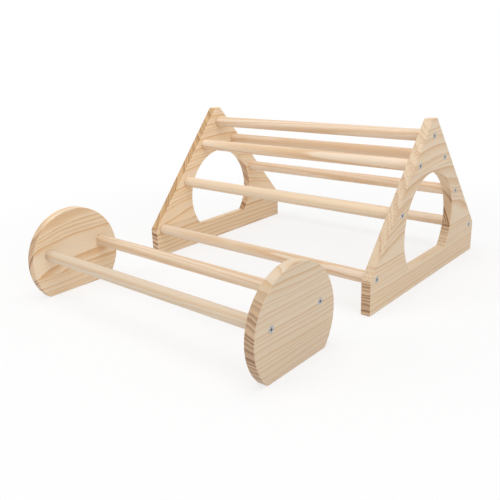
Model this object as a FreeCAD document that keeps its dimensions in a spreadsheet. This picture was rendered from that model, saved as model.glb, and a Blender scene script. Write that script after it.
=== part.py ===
"""A set of two pine perches for small birds: a climbing frame and the low perch cut from its offcuts.

The climbing frame is two triangular boards, held apart by seven round rungs. The low perch is
two discs, cut out of the boards' openings, held apart by two more rungs. Each rung end sits in a
blind socket, and a countersunk screw through the board runs into its end grain.

X is along the rungs, Y from the low perch at the front to the climbing frame at the back, Z up.
The origin is on the floor, in the middle of the set. All sizes are millimetres.
"""

import FreeCAD, Part
import math
import os
import Sketcher
from FreeCAD import Rotation, Vector

# ---------------------------------------------------------------- driving dimensions

SIZES = {
    "board": (10, "thickness of the boards and discs"),
    "clear_length": (280, "distance between the boards, and between the discs"),
    "rung_diameter": (12, "diameter of every rung"),
    "socket_depth": (4, "depth of the blind socket for a rung's end"),
    "socket_clearance": (0.1, "glue gap round and behind a rung's end"),
    "frame_depth": (234, "length of a board's bottom edge"),
    "frame_height": (166, "height of a board"),
    "toe_height": (34, "height of a board's upright front and back edges"),
    "tip_width": (9, "width of the flat on a board's tip"),
    "tip_round": (2.5, "radius on the corners of the tip"),
    "side_rail": (18.7, "least wood between the opening and a sloping edge"),
    "opening_height": (58.5, "height of the opening's centre"),
    "opening_drop": (35, "from the opening's centre down to its flat sill"),
    "ridge_drop": (17, "from the tip down to the ridge rung"),
    "upper_drop": (42, "from the tip down to the upper rungs"),
    "middle_drop": (83.5, "from the tip down to the middle rungs"),
    "base_drop": (1, "from the top of the toe down to the base rungs"),
    "upper_inset": (9.7, "from the sloping edge in to an upper rung"),
    "middle_inset": (11.5, "from the sloping edge in to a middle rung"),
    "base_inset": (11, "from the upright edge in to a base rung"),
    "saw_allowance": (3, "radius that sawing and sanding take off a disc"),
    "disc_corner": (3, "radius on the corners of a disc's flat"),
    "perch_inset": (18.8, "from a disc's rim in to a perch rung"),
    "perch_rise": (9.2, "height of the perch rungs above the disc's centre"),
    "set_gap": (60, "gap between the low perch and the climbing frame"),
    "eased_edge": (0.7, "radius that sanding leaves on the boards' edges"),
    "rung_chamfer": (0.8, "chamfer on a rung's ends"),
    "screw_length": (25, "length of a screw, with its head"),
    "screw_diameter": (3, "diameter of a screw's shank and thread"),
    "screw_root": (2.2, "diameter at the bottom of the thread"),
    "thread_pitch": (1.3, "distance from one thread groove to the next"),
    "thread_grooves": (10, "number of thread grooves"),
    "head_diameter": (6.2, "diameter of a screw's countersunk head"),
    "head_land": (0.1, "height of the straight rim of the head"),
    "head_sink": (0.1, "depth of a head below the board's face"),
    "hole_clearance": (0.1, "gap round a screw in a board"),
    "pilot_clearance": (0.05, "gap round a screw's thread in a rung"),
    "tip_length": (3.5, "length of a screw's point"),
    "recess_span": (3.6, "tip to tip of the cross recess"),
    "recess_width": (0.9, "width of an arm of the cross recess"),
    "recess_depth": (1.5, "depth of the cross recess"),
}

# ---------------------------------------------------------------- places, worked out from the sizes

HALF_LENGTH = "Sizes.clear_length / 2"
HALF_DEPTH = "Sizes.frame_depth / 2"

# A board's sloping edge goes in by RUN while it goes up by RISE.
RUN = "(Sizes.frame_depth - Sizes.tip_width) / 2"
RISE = "(Sizes.frame_height - Sizes.toe_height)"
SLOPE = f"sqrt(({RUN})^2 + ({RISE})^2)"
OPENING_RADIUS = (
    f"(({HALF_DEPTH}) * {RISE} - (Sizes.opening_height - Sizes.toe_height) * ({RUN})) / ({SLOPE})"
    " - Sizes.side_rail"
)
DISC_RADIUS = f"({OPENING_RADIUS}) - Sizes.saw_allowance"
PERCH_REACH = f"(({DISC_RADIUS}) - Sizes.perch_inset)"
PERCH_SPREAD = f"sqrt({PERCH_REACH}^2 - Sizes.perch_rise^2)"
PERCH_HEIGHT = "Sizes.opening_drop + Sizes.perch_rise"

SET_DEPTH = f"(Sizes.frame_depth + Sizes.set_gap + 2 * ({DISC_RADIUS}))"
FRAME_Y = f"({SET_DEPTH} - Sizes.frame_depth) / 2"
PERCH_Y = f"({DISC_RADIUS}) - {SET_DEPTH} / 2"

SOCKET_SEAT = "(Sizes.socket_depth - Sizes.socket_clearance)"
RUNG_LENGTH = f"Sizes.clear_length + 2 * {SOCKET_SEAT}"
HEAD_PLANE = f"({HALF_LENGTH} + Sizes.board - Sizes.head_sink)"
SCREW_BITE = f"Sizes.screw_length + Sizes.head_sink - Sizes.board + {SOCKET_SEAT}"
HOLE_DIAMETER = "(Sizes.screw_diameter + 2 * Sizes.hole_clearance)"
PILOT_DIAMETER = "(Sizes.screw_diameter + 2 * Sizes.pilot_clearance)"


def inside_slope(height, inset):
    """Half the spread of two rungs at a height, each an inset in from the sloping edges."""
    return (
        f"({HALF_DEPTH} - (({height}) - Sizes.toe_height) * ({RUN}) / {RISE}"
        f" - {inset} * ({SLOPE}) / {RISE})"
    )


UPPER_HEIGHT = "Sizes.frame_height - Sizes.upper_drop"
MIDDLE_HEIGHT = "Sizes.frame_height - Sizes.middle_drop"
UPPER_SPREAD = inside_slope(UPPER_HEIGHT, "Sizes.upper_inset")
MIDDLE_SPREAD = inside_slope(MIDDLE_HEIGHT, "Sizes.middle_inset")
BASE_SPREAD = f"({HALF_DEPTH} - Sizes.base_inset)"
BASE_HEIGHT = "Sizes.toe_height - Sizes.base_drop"

# Each rung: its name, how far back it is from the middle of its boards, and its height.
FRAME_RUNGS = [
    ("ridge", "0", "Sizes.frame_height - Sizes.ridge_drop"),
    ("front_upper", f"-{UPPER_SPREAD}", UPPER_HEIGHT),
    ("rear_upper", UPPER_SPREAD, UPPER_HEIGHT),
    ("front_middle", f"-{MIDDLE_SPREAD}", MIDDLE_HEIGHT),
    ("rear_middle", MIDDLE_SPREAD, MIDDLE_HEIGHT),
    ("front_base", f"-{BASE_SPREAD}", BASE_HEIGHT),
    ("rear_base", BASE_SPREAD, BASE_HEIGHT),
]
PERCH_RUNGS = [
    ("front", f"-{PERCH_SPREAD}", PERCH_HEIGHT),
    ("rear", PERCH_SPREAD, PERCH_HEIGHT),
]

# A board is drawn lying down. These stand it up, with its outer face to the right or to the left.
FACING_RIGHT = Rotation(Vector(1, 1, 1), 120)
FACING_LEFT = Rotation(Vector(0, 0, 1), 180) * FACING_RIGHT
SIDES = [("left", -1, FACING_LEFT), ("right", 1, FACING_RIGHT)]

# A screw stops turning wherever it is tight, so each cross recess is turned by a different angle.
SCREW_TURN = 37.0

doc = FreeCAD.newDocument("PerchSet")


# ---------------------------------------------------------------- tools for drawing


def make_sheet():
    sheet = doc.addObject("Spreadsheet::Sheet", "Sizes")
    for row, (name, (size, note)) in enumerate(SIZES.items(), start=1):
        sheet.set(f"A{row}", name)
        sheet.set(f"B{row}", str(size))
        sheet.set(f"C{row}", note)
        sheet.setAlias(f"B{row}", name)
    doc.recompute()
    return sheet


def number(expression):
    """The present value of an expression."""
    return float(doc.Sizes.evalExpression(expression))


def new_body(label):
    body = doc.addObject("PartDesign::Body", label)
    body.Label = label
    return body


def new_sketch(body, name, plane="XY_Plane", lift=None):
    """A sketch on one of the body's own planes, lifted off it by an expression."""
    sketch = body.newObject("Sketcher::SketchObject", name)
    base = next(f for f in body.Origin.OriginFeatures if f.Role == plane)
    sketch.AttachmentSupport = [(base, "")]
    sketch.MapMode = "FlatFace"
    if lift:
        sketch.setExpression("AttachmentOffset.Base.z", lift)
    return sketch


def tie_point(sketch, geometry, vertex, across, up):
    """Holds a point of a sketch at two expressions from its origin."""
    for kind, axis, place in (("DistanceX", -2, across), ("DistanceY", -1, up)):
        if place == "0":
            sketch.addConstraint(
                Sketcher.Constraint("PointOnObject", geometry, vertex, axis)
            )
            continue
        index = sketch.addConstraint(
            Sketcher.Constraint(kind, -1, 1, geometry, vertex, number(place))
        )
        sketch.setExpression(f"Constraints[{index}]", place)


def add_polygon(sketch, corners):
    """A closed outline of straight lines through corners, each a pair of expressions."""
    points = [Vector(number(x), number(y), 0) for x, y in corners]
    first = sketch.GeometryCount
    count = len(points)
    for i, point in enumerate(points):
        sketch.addGeometry(Part.LineSegment(point, points[(i + 1) % count]))
    for i, (across, up) in enumerate(corners):
        following = first + (i + 1) % count
        sketch.addConstraint(
            Sketcher.Constraint("Coincident", first + i, 2, following, 1)
        )
        tie_point(sketch, first + i, 1, across, up)


def add_circle(sketch, across, up, diameter):
    centre = Vector(number(across), number(up), 0)
    circle = sketch.addGeometry(Part.Circle(centre, Vector(0, 0, 1), number(diameter) / 2))
    tie_point(sketch, circle, 3, across, up)
    index = sketch.addConstraint(
        Sketcher.Constraint("Diameter", circle, number(diameter))
    )
    sketch.setExpression(f"Constraints[{index}]", diameter)


def add_flat_bottomed_circle(sketch, height, radius, drop):
    """A circle round a point on the upright axis, cut off flat at a drop below its centre."""
    centre, r = number(height), number(radius)
    start = math.asin(-number(drop) / r)
    round_edge = sketch.addGeometry(
        Part.ArcOfCircle(
            Part.Circle(Vector(0, centre, 0), Vector(0, 0, 1), r), start, math.pi - start
        )
    )
    right, left = (
        Vector(side * r * math.cos(start), centre - number(drop), 0) for side in (1, -1)
    )
    flat = sketch.addGeometry(Part.LineSegment(left, right))
    sketch.addConstraint(Sketcher.Constraint("Coincident", round_edge, 1, flat, 2))
    sketch.addConstraint(Sketcher.Constraint("Coincident", round_edge, 2, flat, 1))
    sketch.addConstraint(Sketcher.Constraint("Horizontal", flat))
    tie_point(sketch, round_edge, 3, "0", height)
    index = sketch.addConstraint(Sketcher.Constraint("Radius", round_edge, r))
    sketch.setExpression(f"Constraints[{index}]", radius)
    index = sketch.addConstraint(
        Sketcher.Constraint("DistanceY", flat, 1, round_edge, 3, number(drop))
    )
    sketch.setExpression(f"Constraints[{index}]", drop)


# ---------------------------------------------------------------- tools for shaping


def pad(body, sketch, length):
    feature = body.newObject("PartDesign::Pad", "Pad")
    feature.Profile = sketch
    feature.setExpression("Length", length)
    doc.recompute()
    return feature


def must_cut(body, feature, before):
    """Stops the build if a cut took nothing away, because it points out of the solid."""
    doc.recompute()
    if body.Shape.Volume > before - 1e-3:
        raise RuntimeError(f"{feature.Label} in {body.Label} cuts nothing")
    return feature


def pocket(body, sketch, depth=None, upwards=False):
    """Cuts a sketch's outline down from its plane, or upwards, to a depth or all the way."""
    before = body.Shape.Volume
    feature = body.newObject("PartDesign::Pocket", "Pocket")
    feature.Profile = sketch
    feature.Reversed = upwards
    if depth:
        feature.setExpression("Length", depth)
    else:
        feature.Type = "ThroughAll"
    return must_cut(body, feature, before)


def edges_where(body, wanted):
    """Names of the body's edges for which wanted(edge) is true."""
    return [
        f"Edge{i}" for i, edge in enumerate(body.Shape.Edges, start=1) if wanted(edge)
    ]


def is_upright(edge):
    box = edge.BoundBox
    return box.XLength < 1e-6 and box.YLength < 1e-6


def round_edges(body, radius, edges):
    base = body.Tip
    feature = body.newObject("PartDesign::Fillet", "Fillet")
    feature.Base = (base, edges)
    feature.setExpression("Radius", radius)
    doc.recompute()


def bevel_edges(body, size, edges):
    base = body.Tip
    feature = body.newObject("PartDesign::Chamfer", "Chamfer")
    feature.Base = (base, edges)
    feature.setExpression("Size", size)
    doc.recompute()


def stand(body, rotation, x, y, z):
    """Turns a body, then ties its place to three expressions."""
    body.Placement = FreeCAD.Placement(Vector(number(x), number(y), number(z)), rotation)
    for axis, place in (("x", x), ("y", y), ("z", z)):
        body.setExpression(f"Placement.Base.{axis}", place)


# ---------------------------------------------------------------- boards and discs


def fit_rungs(body, rungs):
    """Cuts a board's blind sockets in its inner face, and its screw holes from its outer face."""
    sockets = new_sketch(body, "Sockets")
    for _, across, up in rungs:
        add_circle(
            sockets, across, up, "Sizes.rung_diameter + 2 * Sizes.socket_clearance"
        )
    pocket(body, sockets, "Sizes.socket_depth", upwards=True)

    holes = new_sketch(body, "ScrewHoles", lift="Sizes.board")
    for _, across, up in rungs:
        add_circle(holes, across, up, HOLE_DIAMETER)
    doc.recompute()
    before = body.Shape.Volume
    hole = body.newObject("PartDesign::Hole", "Hole")
    hole.Profile = holes
    doc.recompute()
    hole.Threaded = False
    hole.ThreadType = "None"
    hole.DepthType = "ThroughAll"
    hole.setExpression("Diameter", HOLE_DIAMETER)
    hole.HoleCutType = "Countersink"
    hole.HoleCutCustomValues = True
    hole.HoleCutCountersinkAngle = 90
    hole.setExpression(
        "HoleCutDiameter",
        "Sizes.head_diameter + 2 * (Sizes.hole_clearance + Sizes.head_sink + Sizes.head_land)",
    )
    must_cut(body, hole, before)


def make_frame_board(side, sign, rotation):
    """A triangular board with upright toes, a blunt tip and a round opening with a flat sill."""
    body = new_body(f"frame_board_{side}")
    outline = new_sketch(body, "Outline")
    half_tip = "Sizes.tip_width / 2"
    half = [
        (HALF_DEPTH, "0"),
        (HALF_DEPTH, "Sizes.toe_height"),
        (half_tip, "Sizes.frame_height"),
    ]
    other_half = [(f"-({across})", up) for across, up in reversed(half)]
    add_polygon(outline, half + other_half)
    pad(body, outline, "Sizes.board")

    tip = number("Sizes.frame_height")
    round_edges(
        body,
        "Sizes.tip_round",
        edges_where(body, lambda e: is_upright(e) and abs(e.CenterOfMass.y - tip) < 1e-6),
    )
    opening = new_sketch(body, "Opening")
    add_flat_bottomed_circle(
        opening, "Sizes.opening_height", OPENING_RADIUS, "Sizes.opening_drop"
    )
    pocket(body, opening, upwards=True)
    round_edges(body, "Sizes.eased_edge", edges_where(body, lambda e: not is_upright(e)))
    fit_rungs(body, FRAME_RUNGS)
    stand(body, rotation, f"{sign} * {HALF_LENGTH}", FRAME_Y, "0")
    return body


def make_perch_disc(side, sign, rotation):
    """A disc cut out of a board's opening, standing on its flat."""
    body = new_body(f"perch_disc_{side}")
    outline = new_sketch(body, "Outline")
    add_flat_bottomed_circle(
        outline, "Sizes.opening_drop", DISC_RADIUS, "Sizes.opening_drop"
    )
    pad(body, outline, "Sizes.board")
    round_edges(body, "Sizes.disc_corner", edges_where(body, is_upright))
    round_edges(body, "Sizes.eased_edge", edges_where(body, lambda e: not is_upright(e)))
    fit_rungs(body, PERCH_RUNGS)
    stand(body, rotation, f"{sign} * {HALF_LENGTH}", PERCH_Y, "0")
    return body


# ---------------------------------------------------------------- rungs


def make_rung(label, y, z):
    """A round rung with chamfered ends, drilled at each end for its screw."""
    body = new_body(label)
    section = new_sketch(body, "Section")
    add_circle(section, "0", "0", "Sizes.rung_diameter")
    pad(body, section, RUNG_LENGTH)
    bevel_edges(
        body, "Sizes.rung_chamfer", edges_where(body, lambda e: e.BoundBox.ZLength < 1e-6)
    )
    for name, lift, upwards in (("Near", None, True), ("Far", RUNG_LENGTH, False)):
        drill = new_sketch(body, f"{name}Hole", lift=lift)
        add_circle(drill, "0", "0", PILOT_DIAMETER)
        pocket(body, drill, f"{SCREW_BITE} + Sizes.pilot_clearance", upwards=upwards)
    stand(body, FACING_RIGHT, f"-({RUNG_LENGTH}) / 2", y, z)
    return body


# ---------------------------------------------------------------- screws


def make_screw(label, sign, rotation, y, z, turn):
    """A countersunk wood screw with a cross recess, its head just below the board's face."""
    body = new_body(label)
    profile = new_sketch(body, "Profile", plane="XZ_Plane")
    head = "Sizes.head_diameter / 2"
    shank = "Sizes.screw_diameter / 2"
    add_polygon(
        profile,
        [
            ("0", "0"),
            (head, "0"),
            (head, "-Sizes.head_land"),
            (shank, f"-(Sizes.head_land + {head} - {shank})"),
            (shank, "-(Sizes.screw_length - Sizes.tip_length)"),
            ("0", "-Sizes.screw_length"),
        ],
    )
    turned = body.newObject("PartDesign::Revolution", "Revolution")
    turned.Profile = profile
    turned.ReferenceAxis = (profile, ["V_Axis"])
    doc.recompute()

    cut = new_sketch(body, "ThreadGroove", plane="XZ_Plane")
    last = "(Sizes.screw_length - Sizes.tip_length)"
    root = "Sizes.screw_root / 2"
    outside = f"({shank} + ({shank} - {root}) / 2)"
    add_polygon(
        cut,
        [
            (root, f"-({last} - Sizes.thread_pitch / 2)"),
            (outside, f"-({last} - Sizes.thread_pitch * 0.9)"),
            (outside, f"-({last} - Sizes.thread_pitch * 0.1)"),
        ],
    )
    before = body.Shape.Volume
    groove = body.newObject("PartDesign::Groove", "Groove")
    groove.Profile = cut
    groove.ReferenceAxis = (cut, ["V_Axis"])
    must_cut(body, groove, before)

    before = body.Shape.Volume
    thread = body.newObject("PartDesign::LinearPattern", "Thread")
    thread.Originals = [groove]
    thread.Direction = (cut, ["V_Axis"])
    thread.setExpression("Length", "Sizes.thread_pitch * (Sizes.thread_grooves - 1)")
    thread.setExpression("Occurrences", "Sizes.thread_grooves")
    body.Tip = thread
    must_cut(body, thread, before)

    recess = new_sketch(body, "CrossRecess")
    tip, arm = "Sizes.recess_span / 2", "Sizes.recess_width / 2"
    corner = [(tip, arm), (arm, arm), (arm, tip)]
    quarter_turns = [(1, 1, False), (-1, 1, True), (-1, -1, False), (1, -1, True)]
    cross = []
    for sx, sy, backwards in quarter_turns:
        points = reversed(corner) if backwards else corner
        cross += [(f"{sx} * {x}", f"{sy} * {y}") for x, y in points]
    add_polygon(recess, cross)
    pocket(body, recess, "Sizes.recess_depth")
    stand(body, rotation * Rotation(Vector(0, 0, 1), turn), f"{sign} * {HEAD_PLANE}", y, z)
    return body


# ---------------------------------------------------------------- the set


def make_unit(name, rungs, unit_y):
    """The rungs and screws of one of the two perches."""
    made = []
    for rung, across, height in rungs:
        y = f"{unit_y} + {across}"
        made.append(make_rung(f"{name}_rung_{rung}", y, height))
        for side, sign, rotation in SIDES:
            turn = SCREW_TURN * len(made)
            label = f"{name}_screw_{rung}_{side}"
            made.append(make_screw(label, sign, rotation, y, height, turn))
    return made


def check(parts):
    for item in doc.Objects:
        if "Invalid" in item.State or "Error" in item.State:
            raise RuntimeError(f"{item.Label} failed: {item.State}")
    for body in parts:
        if body.Shape.isNull() or not body.Shape.isValid() or not body.Shape.Solids:
            raise RuntimeError(f"{body.Label} has no valid solid")


make_sheet()
parts = [make_frame_board(*side) for side in SIDES]
parts += make_unit("frame", FRAME_RUNGS, FRAME_Y)
parts += [make_perch_disc(*side) for side in SIDES]
parts += make_unit("perch", PERCH_RUNGS, PERCH_Y)
doc.recompute()
check(parts)

os.makedirs("parts", exist_ok=True)
for body in parts:
    body.Shape.exportStep(f"parts/{body.Label}.step")
print(f"{len(parts)} parts written")
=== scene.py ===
import math

import bpy
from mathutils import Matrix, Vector


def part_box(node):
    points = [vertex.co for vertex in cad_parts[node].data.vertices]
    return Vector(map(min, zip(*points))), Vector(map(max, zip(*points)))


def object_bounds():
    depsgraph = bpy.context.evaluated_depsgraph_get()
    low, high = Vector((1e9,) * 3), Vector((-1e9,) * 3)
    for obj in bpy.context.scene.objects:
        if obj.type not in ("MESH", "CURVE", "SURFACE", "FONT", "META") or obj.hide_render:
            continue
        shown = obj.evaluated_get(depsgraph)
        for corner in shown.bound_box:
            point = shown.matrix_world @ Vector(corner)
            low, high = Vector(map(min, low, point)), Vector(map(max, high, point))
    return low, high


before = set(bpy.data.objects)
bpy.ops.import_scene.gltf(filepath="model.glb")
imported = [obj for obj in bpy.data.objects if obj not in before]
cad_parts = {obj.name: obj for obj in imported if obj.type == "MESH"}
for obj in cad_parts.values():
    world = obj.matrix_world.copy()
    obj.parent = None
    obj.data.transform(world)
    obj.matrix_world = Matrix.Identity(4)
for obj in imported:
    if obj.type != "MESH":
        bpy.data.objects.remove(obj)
cad_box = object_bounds()
for thing in bpy.context.selected_objects:
    thing.select_set(False)


# ---------------------------------------------------------------- frame boards
# The two triangular ends of the climbing frame are cut from 10 mm pine board, glued up edge to
# edge from strips of different logs. They are sawn and sanded, and left bare.

MILLIMETRE = 0.001

# Which way a piece's grain runs, in degrees from the frame's length.
GRAIN_ALONG_X = 0
GRAIN_ALONG_Y = 90


def colour(red, green, blue):
    """A colour as paint charts give it, from 0 to 255, as a shader wants it."""
    linear = [
        value / 255 / 12.92 if value <= 10 else ((value / 255 + 0.055) / 1.055) ** 2.4
        for value in (red, green, blue)
    ]
    return (*linear, 1)


class Nodes:
    """A short way of writing down a material's nodes."""

    def __init__(self, name):
        self.material = bpy.data.materials.new(name)
        self.material.use_nodes = True
        self.tree = self.material.node_tree
        self.shader = self.tree.nodes["Principled BSDF"]
        self.place = self.add("TexCoord")

    def add(self, kind, **settings):
        made = self.tree.nodes.new("ShaderNode" + kind)
        for name, value in settings.items():
            setattr(made, name, value)
        return made

    def fill(self, sockets, *values):
        """Wires each value that is a socket, sets the others and skips those that are None."""
        for socket, value in zip(sockets, values):
            if isinstance(value, bpy.types.NodeSocket):
                self.tree.links.new(value, socket)
            elif value is not None:
                socket.default_value = value

    def do(self, operation, *values):
        made = self.add("Math", operation=operation)
        self.fill(made.inputs, *values)
        return made.outputs[0]

    def stretch(self, vector, scale):
        made = self.add("VectorMath", operation="MULTIPLY")
        self.fill(made.inputs, vector, scale)
        return made.outputs[0]

    def plus(self, a, b):
        made = self.add("VectorMath", operation="ADD")
        self.fill(made.inputs, a, b)
        return made.outputs[0]

    def mix(self, factor, a, b, blend="MIX"):
        """Mixes two colours or two vectors."""
        made = self.add("Mix", data_type="RGBA", blend_type=blend)
        self.fill((made.inputs[0], made.inputs[6], made.inputs[7]), factor, a, b)
        return made.outputs[2]

    def darken(self, paint, grey):
        """Multiplies a colour by a grey value."""
        made = self.add("VectorMath", operation="SCALE")
        self.fill((made.inputs[0], made.inputs["Scale"]), paint, grey)
        return made.outputs[0]

    def between(self, value, low, high, to_low=0.0, to_high=1.0, kind="SMOOTHSTEP"):
        """Takes a value from the range low to high over to another range."""
        made = self.add("MapRange", interpolation_type=kind)
        self.fill(made.inputs, value, low, high, to_low, to_high)
        return made.outputs[0]

    def noise(self, where, detail=2.0, roughness=0.5, output="Fac"):
        made = self.add("TexNoise")
        inputs = [made.inputs[name] for name in ("Vector", "Scale", "Detail", "Roughness")]
        self.fill(inputs, where, 1.0, detail, roughness)
        return made.outputs[output]

    def noise_along(self, value, scale):
        made = self.add("TexNoise", noise_dimensions="1D")
        self.fill([made.inputs[name] for name in ("W", "Scale", "Detail")], value, scale, 1.0)
        return made.outputs["Fac"]

    def parts(self, vector):
        made = self.add("SeparateXYZ")
        self.fill(made.inputs, vector)
        return made.outputs

    def log(self, pith, grain, lean, rise):
        """Millimetres from a point on a log's pith, with X along the grain.

        The pith leans sideways and rises by these angles in degrees from the piece's length."""
        made = self.add("Mapping", vector_type="TEXTURE")
        self.fill(made.inputs[:1], self.place.outputs["Object"])
        made.inputs["Location"].default_value = [value * MILLIMETRE for value in pith]
        turn = (0, -rise, grain + lean)
        made.inputs["Rotation"].default_value = [math.radians(angle) for angle in turn]
        made.inputs["Scale"].default_value = (MILLIMETRE,) * 3
        return made.outputs[0]


EARLY_WOOD = colour(240, 221, 196)
GOLDEN_WOOD = colour(234, 203, 161)
LATE_WOOD = colour(209, 160, 108)
END_EARLY = colour(221, 188, 152)
END_LATE = colour(148, 105, 73)
PORE = colour(188, 140, 98)
YELLOW = (1.0, 0.955, 0.86, 1)
ROSY = (1.0, 0.945, 0.96, 1)
TANNED = (0.76, 0.66, 0.49, 1)

# How often each pattern changes in a millimetre, along the grain and then across it twice.
SLOW_BENDS = (0.009, 0.04, 0.04)
QUICK_BENDS = (0.03, 0.30, 0.30)
FIBRES = (0.03, 1.5, 1.5)
STREAKS = (0.005, 0.12, 0.12)
CANALS = (0.14, 2.4, 2.4)
PORES = (0.5, 1.1, 1.1)
SPECKS = (0.7, 1.9, 1.9)

# Nearly all of a noise lies between these.
LOW, HIGH = 0.3, 0.7

# How far a face leans towards the grain, and how far it looks up, before it counts as a slope.
SLOPING = (0.35, 0.70)
LOOKING_UP = (0.3, 0.6)

# The height, in millimetres, of a strip that runs on past the top of its piece.
TO_THE_TOP = 200


def strip(
    top,
    pith,
    ring_width,
    lean=0.0,
    rise=0.0,
    bow=0.0,
    thin=0.4,
    wander=5.0,
    contrast=1.0,
    shade=1.0,
):
    """A strip of a glued-up board: its top edge's height, its log's pith, seen from the board's
    lower middle, and its rings' width, all in millimetres. The log leans and rises in degrees and
    bows, its rings are pale for a share of their width and wander to either side, and the last
    two say how strongly the rings show and how light the strip is. That lightness is partly the
    wood's own tone, and on the frame boards and perch discs it is partly painted light: darker on
    a piece whose outer face in shade is seen, and lighter on one whose inner face is seen.

    The numbers travel through colour sockets, which take four each. The fourth isn't used."""
    return {
        "top": top,
        "pith": pith,
        "lean": lean,
        "rise": rise,
        "numbers": (ring_width, contrast, shade, 1),
        "shape": (bow, thin, wander * 2, 1),
    }


def glued_up(n, middle, strips, grain):
    """Picks the strip that each point is in: its place in that strip's log, and the numbers."""
    height = n.do("DIVIDE", n.parts(n.place.outputs["Object"])["Z"], MILLIMETRE)
    timber = numbers = shape = None
    for one in reversed(strips):
        pith = [a + b for a, b in zip(middle, one["pith"])]
        log = n.log(pith, grain, one["lean"], one["rise"])
        if timber is None:
            numbers, shape = n.add("RGB"), n.add("RGB")
            numbers.outputs[0].default_value = one["numbers"]
            shape.outputs[0].default_value = one["shape"]
            timber, numbers, shape = log, numbers.outputs[0], shape.outputs[0]
        else:
            below = n.do("LESS_THAN", height, middle[2] + one["top"])
            timber = n.mix(below, timber, log)
            numbers = n.mix(below, numbers, one["numbers"])
            shape = n.mix(below, shape, one["shape"])
    return timber, n.parts(numbers), n.parts(shape)


def growth_rings(n, timber, ring_width, contrast, shape):
    """A point's place in its year's ring from 0 to 1, how strong that year is until it stops,
    and how far the wood there is late and how far it is golden."""
    # The log grew a little unevenly, so it bows, and its rings wander and differ in width.
    bow, thin, wander = shape
    quick_share = 0.12
    across_only = (0, 1, 1)
    along = n.parts(timber)["X"]
    sag = n.add("CombineXYZ")
    n.fill([sag.inputs["Z"]], n.do("MULTIPLY", n.do("MULTIPLY", along, along), bow))
    slow = n.noise(n.stretch(timber, SLOW_BENDS), detail=2.0, roughness=0.45, output="Color")
    quick = n.noise(n.stretch(timber, QUICK_BENDS), detail=1.0, roughness=0.5, output="Color")
    bent = n.darken(n.mix(quick_share, slow, quick), wander)
    bent = n.stretch(n.plus(bent, n.plus(timber, sag.outputs[0])), across_only)
    away = n.add("VectorMath", operation="LENGTH")
    n.fill(away.inputs, bent)
    rings = n.do("DIVIDE", away.outputs["Value"], ring_width)
    drift_every, drift_by = 0.37, 2.4
    rings = n.do("MULTIPLY_ADD", n.noise_along(rings, drift_every), drift_by, rings)
    part = n.do("FRACT", rings)

    # A year turns slowly from pale to golden, then suddenly to late wood, and then it stops.
    years_apart, weakest_year = 7.31, 0.5
    year = n.noise_along(n.do("FLOOR", rings), years_apart)
    year = n.between(year, LOW, HIGH, weakest_year, 1.0)
    late_ends, winter, suddenness = 0.92, 0.93, 1.6
    stopped = n.do("MULTIPLY", n.between(part, winter, 1.0, 1.0, 0.0), year)
    late = n.do("POWER", n.between(part, thin, late_ends), suddenness)
    late = n.do("MULTIPLY", n.do("MULTIPLY", late, stopped), contrast)
    least_golden = 0.4
    most_golden = n.between(contrast, 0, 1, least_golden, 1)
    golden = n.do("MULTIPLY", n.between(part, 0.0, late_ends, 0.0, most_golden), stopped)
    return part, stopped, late, golden


def bare_face(n, timber, late, golden, fibres, yellowness, rosiness):
    """The colour of a sanded face: fibres and short resin canals run along the grain, and broad
    streaks differ in tint."""
    streaks = n.noise(n.stretch(timber, STREAKS), detail=3.0, roughness=0.55, output="Color")
    streaks = n.parts(streaks)
    face = n.mix(late, n.mix(golden, EARLY_WOOD, GOLDEN_WOOD), LATE_WOOD)
    yellow = n.between(streaks["X"], 0.35, 0.65, yellowness * 0.5, yellowness)
    face = n.mix(yellow, face, n.mix(1.0, face, YELLOW, "MULTIPLY"))
    rosy = n.between(streaks["Y"], 0.40, 0.65, rosiness * 0.4, rosiness)
    face = n.mix(rosy, face, n.mix(1.0, face, ROSY, "MULTIPLY"))
    dark_fibre, light_fibre = 0.93, 1.04
    face = n.darken(face, n.between(fibres, 0.25, 0.75, dark_fibre, light_fibre, "LINEAR"))
    rare, rarest, canal_strength = 0.68, 0.76, 0.30
    canals = n.noise(n.stretch(timber, CANALS), detail=1.0)
    return n.mix(n.between(canals, rare, rarest, 0.0, canal_strength), face, LATE_WOOD)


def torn_slope(n, timber, face, golden, pores, torn):
    """A slanting cut, which the saw has torn into pale fluff with dark specks, row by row."""
    paleness, mottling = 0.75, 0.10
    fluff = n.mix(n.do("MULTIPLY", torn, paleness), face, EARLY_WOOD)
    mottled = n.between(pores, LOW, HIGH, -mottling, mottling)
    fluff = n.darken(fluff, n.do("MULTIPLY_ADD", mottled, torn, 1.0))
    faintest_row = 0.25
    row = n.do("MULTIPLY", n.between(golden, 0.1, 0.6, faintest_row, 1.0), torn)
    specks = n.between(n.noise(n.stretch(timber, SPECKS), detail=1.0), 0.50, 0.60)
    return n.mix(n.do("MULTIPLY", specks, row), fluff, PORE)


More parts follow.
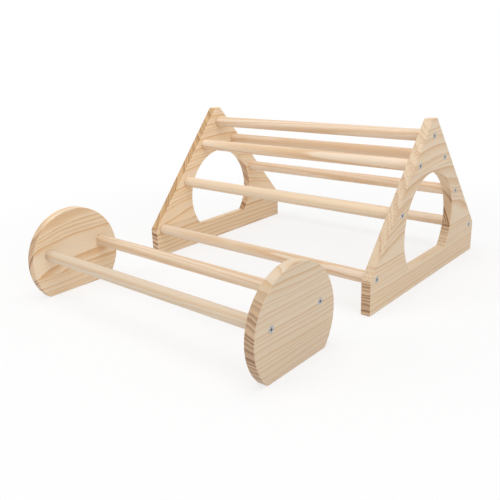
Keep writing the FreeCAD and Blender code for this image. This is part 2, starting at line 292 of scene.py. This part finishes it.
def pine(name, middle, strips, grain, yellowness=0.5, rosiness=0.3, sawn=0.0, tan=0.5):
    """Pine: rings round the pith, each pale and then suddenly dark, drawn out along the grain."""
    n = Nodes(name)
    timber, (ring_width, contrast, shade), shape = glued_up(n, middle, strips, grain)
    part, stopped, late, golden = growth_rings(n, timber, ring_width, contrast, shape)
    fibres = n.noise(n.stretch(timber, FIBRES), detail=4.0, roughness=0.65)
    face = bare_face(n, timber, late, golden, fibres, yellowness, rosiness)

    # A cut across the fibres drinks in light, so it is darker there and its rings are broad bars.
    facing = n.parts(n.place.outputs["Normal"])
    slant = n.do("ABSOLUTE", facing["Y" if grain == GRAIN_ALONG_Y else "X"])
    slope = n.do("MULTIPLY", n.between(slant, *SLOPING), n.between(facing["Z"], *LOOKING_UP))
    torn = n.do("MULTIPLY", slope, sawn)
    pores = n.noise(n.stretch(timber, PORES), detail=3.0, roughness=0.75)
    fluff = torn_slope(n, timber, face, golden, pores, torn)
    bars = n.do("MULTIPLY", n.between(part, 0.10, 0.70), stopped)
    dark_pore, light_pore = 0.93, 1.06
    end = n.mix(bars, END_EARLY, END_LATE)
    end = n.darken(end, n.between(pores, LOW, HIGH, dark_pore, light_pore, "LINEAR"))
    end_begins, end_square = 0.4 + 0.4 * sawn, 0.99
    wood = n.mix(n.between(slant, end_begins, end_square), fluff, end)
    tanned = n.do("MULTIPLY", slope, tan)
    # The strip's shade darkens or lightens the wood. It is its own tone, and on the frame boards and
    # perch discs it is painted light as well.
    wood = n.darken(n.mix(tanned, wood, n.mix(1.0, wood, TANNED, "MULTIPLY")), shade)
    n.fill(n.shader.inputs[:1], wood)

    # Late wood is harder, so it takes a smoother polish and stands a little proud.
    early_roughness, late_roughness = 0.52, 0.42
    rough = n.between(late, 0.0, 1.0, early_roughness, late_roughness, "LINEAR")
    n.fill([n.shader.inputs["Roughness"]], rough)
    n.shader.inputs["Specular IOR Level"].default_value = 0.45
    ring_ridge, fibre_ridge, torn_ridge = 0.6, 0.6, 4.0
    ridges = n.do("MULTIPLY_ADD", late, ring_ridge, n.do("MULTIPLY", fibres, fibre_ridge))
    ridges = n.do("MULTIPLY_ADD", n.do("MULTIPLY", pores, torn), torn_ridge, ridges)
    relief = n.add("Bump")
    relief.inputs["Strength"].default_value = 0.35
    relief.inputs["Distance"].default_value = 0.12 * MILLIMETRE
    n.fill([relief.inputs["Height"]], ridges)
    n.fill([n.shader.inputs["Normal"]], relief.outputs[0])
    return n.material


def lower_middle(node):
    """The middle of a piece's underside, in millimetres."""
    low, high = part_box(node)
    across = (low.x + high.x) / 2
    along = (low.y + high.y) / 2
    return [across / MILLIMETRE, along / MILLIMETRE, low.z / MILLIMETRE]


def finish_in(material, *names):
    for name in names:
        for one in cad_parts[name].material_slots:
            one.material = material


# Painted light: the right board's strips are made darker because its outer face, which stands in
# shade, is the one seen. The left board's strips are made lighter because its inner face, which is
# brightened by light bounced between the boards, is the one seen. The strips also differ in tone of
# their own.
RIGHT_BOARD = [
    strip(45, (0, 0, -150), 3.3, thin=0.55, wander=2.5, contrast=0.7, shade=0.90),
    strip(118, (-160, 10, -20), 4.8, lean=0.6, bow=0.0019, thin=0.1, contrast=0.55, shade=0.90),
    strip(
        TO_THE_TOP,
        (-150, 10, -40),
        5.4,
        lean=-0.5,
        bow=0.0016,
        thin=0.2,
        contrast=0.45,
        shade=0.95,
    ),
]
LEFT_BOARD = [
    strip(36, (-40, 0, -120), 6.0, rise=0.4, thin=0.6, contrast=0.7, shade=1.0),
    strip(
        TO_THE_TOP,
        (-130, 0, -30),
        4.8,
        bow=0.0012,
        thin=0.6,
        wander=3.5,
        contrast=0.75,
        shade=1.09,
    ),
]
for side, strips, yellowness, sawn, tan in (
    ("right", RIGHT_BOARD, 0.6, 1.0, 0.4),
    ("left", LEFT_BOARD, 0.9, 0.1, 1.0),
):
    board = f"frame_board_{side}"
    middle = lower_middle(board)
    wood = pine(board + "_pine", middle, strips, GRAIN_ALONG_Y, yellowness, sawn=sawn, tan=tan)
    finish_in(wood, board)


# ---------------------------------------------------------------- rungs
# The rungs are 12 mm pine dowel, turned and sanded smooth. Each one comes from another place in
# another log, so on each the rings fall differently.

RUNG_WANDER = 2.0
RUNG_LOGS = [
    # rung, pith from its underside, ring width, slant, contrast, yellowness, rosiness and shade
    ("frame_rung_ridge", (0, 12, 16), 4.4, 1.0, 0.5, 0.0, 0.8, 0.95),
    ("frame_rung_front_upper", (0, 14, 2), 4.4, 1.6, 0.7, 0.0, 0.8, 0.98),
    ("frame_rung_rear_upper", (0, 16, -4), 4.2, -0.8, 0.5, 0.3, 1.0, 0.96),
    ("frame_rung_front_middle", (0, -11, 20), 4.8, 0.9, 0.2, 0.0, 0.0, 0.97),
    ("frame_rung_rear_middle", (0, 12, 14), 4.0, -1.0, 0.5, 0.0, 0.9, 1.0),
    ("frame_rung_front_base", (0, 18, -4), 3.8, 0.7, 0.5, 0.0, 1.0, 0.88),
    ("frame_rung_rear_base", (0, -12, 20), 4.4, -0.7, 0.5, 0.0, 0.9, 0.95),
    ("perch_rung_front", (0, 40, 30), 2.2, 0.3, 0.25, 0.0, 0.3, 0.82),
    ("perch_rung_rear", (0, 13, 16), 4.6, -0.9, 0.5, 0.1, 0.6, 0.92),
]
for rung, pith, ring_width, slant, contrast, yellowness, rosiness, shade in RUNG_LOGS:
    log = strip(
        TO_THE_TOP,
        pith,
        ring_width,
        lean=slant,
        rise=slant / 2,
        wander=RUNG_WANDER,
        contrast=contrast,
        shade=shade,
    )
    wood = pine(rung + "_pine", lower_middle(rung), [log], GRAIN_ALONG_X, yellowness, rosiness)
    finish_in(wood, rung)


# ---------------------------------------------------------------- screws
# A countersunk wood screw goes through the board into the end of each rung. They are steel with a
# thin bright zinc plate, and the driver has left them flush.

DULL_ZINC = colour(168, 170, 172)
BRIGHT_ZINC = colour(208, 209, 208)
SPANGLES_IN_A_METRE = 900


def zinc():
    n = Nodes("bright_zinc")
    n.shader.inputs["Metallic"].default_value = 1.0
    where = n.stretch(n.place.outputs["Object"], (SPANGLES_IN_A_METRE,) * 3)
    spangle = n.noise(where, detail=3.0, roughness=0.6)
    n.fill(n.shader.inputs[:1], n.mix(spangle, DULL_ZINC, BRIGHT_ZINC))
    smooth, rough = 0.28, 0.42
    n.fill([n.shader.inputs["Roughness"]], n.between(spangle, LOW, HIGH, smooth, rough))
    return n.material


finish_in(zinc(), *[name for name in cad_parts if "_screw_" in name])


# ---------------------------------------------------------------- low perch discs
# Each disc is sawn from the same 10 mm pine board, as large as the piece that comes out of an
# opening, and cut flat to stand on. It is glued up from strips too, and sanded.

DISC_SAWN = 0.3
# Painted light, as on the frame boards: the near right disc's strips are made darker because its outer
# face, which stands in shade, is the one seen. The far left disc's strips are lighter because its
# inner face is the one seen.
RIGHT_DISC = [
    strip(24, (0, 0, -150), 3.4, thin=0.6, wander=3.0, contrast=0.55, shade=0.83),
    strip(
        TO_THE_TOP,
        (-70, 0, -160),
        4.2,
        lean=0.4,
        thin=0.5,
        wander=4.0,
        contrast=0.45,
        shade=0.84,
    ),
]
LEFT_DISC = [
    strip(22, (40, 0, -120), 4.4, rise=0.6, thin=0.5, contrast=0.6, shade=0.97),
    strip(TO_THE_TOP, (150, 40, -20), 4.4, lean=-2.0, bow=0.002, thin=0.2, contrast=0.6),
]
for side, strips, yellowness in (("right", RIGHT_DISC, 0.3), ("left", LEFT_DISC, 0.8)):
    disc = f"perch_disc_{side}"
    middle = lower_middle(disc)
    wood = pine(disc + "_pine", middle, strips, GRAIN_ALONG_Y, yellowness, sawn=DISC_SAWN)
    finish_in(wood, disc)


# ---------------------------------------------------------------- floor and light
# The set stands on a plain pale paper floor that runs back to a white room. One wide soft lamp
# hangs above it, and two weaker ones stand in front, to the left and to the right.

FLOOR_HEIGHT = cad_box[0][2]
FLOOR_GAP = 0.1 * MILLIMETRE
FLOOR_SIZE = 12
PAPER = (0.9, 0.9, 0.9, 1)
WHITE = (1, 1, 1, 1)

# How white the paper looks by itself: less near the set, where its shadow shows, and all of it
# further out. Both distances are metres from the middle of the floor.
SHADOW_REACH = 0.25
WHITE_FROM = 0.60
NEAR_WHITENESS = 0.70

bpy.ops.mesh.primitive_plane_add(size=FLOOR_SIZE, location=(0, 0, FLOOR_HEIGHT - FLOOR_GAP))
floor = bpy.context.active_object
floor.name = "floor"
paper = Nodes("white_paper")
paper.fill(paper.shader.inputs[:1], PAPER)
paper.shader.inputs["Roughness"].default_value = 0.9
paper.shader.inputs["Specular IOR Level"].default_value = 0.1
glow = paper.add("Emission")
glow.inputs["Strength"].default_value = 1.0
ray = paper.add("LightPath")
seen = paper.do("MAXIMUM", ray.outputs["Is Camera Ray"], ray.outputs["Is Glossy Ray"])
away = paper.add("VectorMath", operation="LENGTH")
paper.fill(away.inputs, paper.place.outputs["Object"])
white = paper.between(away.outputs["Value"], SHADOW_REACH, WHITE_FROM, NEAR_WHITENESS, 1.0)
shown = paper.add("MixShader")
glowing = paper.do("MULTIPLY", seen, white)
paper.fill(shown.inputs, glowing, paper.shader.outputs[0], glow.outputs[0])
paper.fill(paper.tree.nodes["Material Output"].inputs[:1], shown.outputs[0])
floor.data.materials.append(paper.material)

# The room lights the set softly, and looks plain white to the camera and in the screws.
ROOM_LIGHT = 0.55
room = bpy.data.worlds.new("white_room")
room.use_nodes = True
light = room.node_tree.nodes["Background"]
light.inputs["Color"].default_value = WHITE
light.inputs["Strength"].default_value = ROOM_LIGHT
wall = room.node_tree.nodes.new("ShaderNodeBackground")
wall.inputs["Color"].default_value = WHITE
ray = room.node_tree.nodes.new("ShaderNodeLightPath")
seen = room.node_tree.nodes.new("ShaderNodeMath")
seen.operation = "MAXIMUM"
shown = room.node_tree.nodes.new("ShaderNodeMixShader")
for start, end in (
    (ray.outputs["Is Camera Ray"], seen.inputs[0]),
    (ray.outputs["Is Glossy Ray"], seen.inputs[1]),
    (seen.outputs[0], shown.inputs[0]),
    (light.outputs[0], shown.inputs[1]),
    (wall.outputs[0], shown.inputs[2]),
    (shown.outputs[0], room.node_tree.nodes["World Output"].inputs["Surface"]),
):
    room.node_tree.links.new(start, end)
bpy.context.scene.world = room

LAMPS = [
    # name, place in metres, width in metres, watts
    ("overhead", (0.10, -0.10, 1.30), 1.2, 8.0),
    ("key", (-0.90, -1.10, 0.95), 0.9, 4.5),
    ("fill", (1.40, -0.60, 0.70), 0.9, 3.6),
]
aim = (Vector(cad_box[0]) + Vector(cad_box[1])) / 2
for name, place, width, watts in LAMPS:
    bpy.ops.object.light_add(type="AREA", location=place)
    lamp = bpy.context.active_object
    lamp.name = name
    lamp.data.size = width
    lamp.data.energy = watts
    lamp.rotation_euler = (aim - Vector(place)).to_track_quat("-Z", "Y").to_euler()


# ---------------------------------------------------------------- camera
# It stands in front and to the right of the climbing frame, a little above it and near enough for
# strong perspective, and looks at the middle of the whole set.

FRAME_MIDDLE = (Vector(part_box("frame_board_left")[0]) + Vector(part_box("frame_board_right")[1])) / 2
CAMERA_AWAY = 0.70
CAMERA_SIDEWAYS = math.radians(35.4)
CAMERA_HEIGHT = 0.243
CAMERA_TURN = math.radians(41.3)
CAMERA_DIP = math.radians(18.8)
CAMERA_ROLL = math.radians(2.4)
LEVEL = math.radians(90)
LENS = 44.0
SENSOR_WIDTH = 36
bpy.ops.object.camera_add(
    location=(
        CAMERA_AWAY * math.sin(CAMERA_SIDEWAYS),
        FRAME_MIDDLE.y - CAMERA_AWAY * math.cos(CAMERA_SIDEWAYS),
        CAMERA_HEIGHT,
    )
)
camera = bpy.context.active_object
camera.rotation_euler = (LEVEL - CAMERA_DIP, 0, CAMERA_TURN)
camera.rotation_euler.rotate_axis("Z", -CAMERA_ROLL)
camera.data.lens = LENS
camera.data.sensor_width = SENSOR_WIDTH
camera.data.clip_start = 0.01
bpy.context.scene.camera = camera
bpy.context.scene.view_settings.view_transform = "Standard"
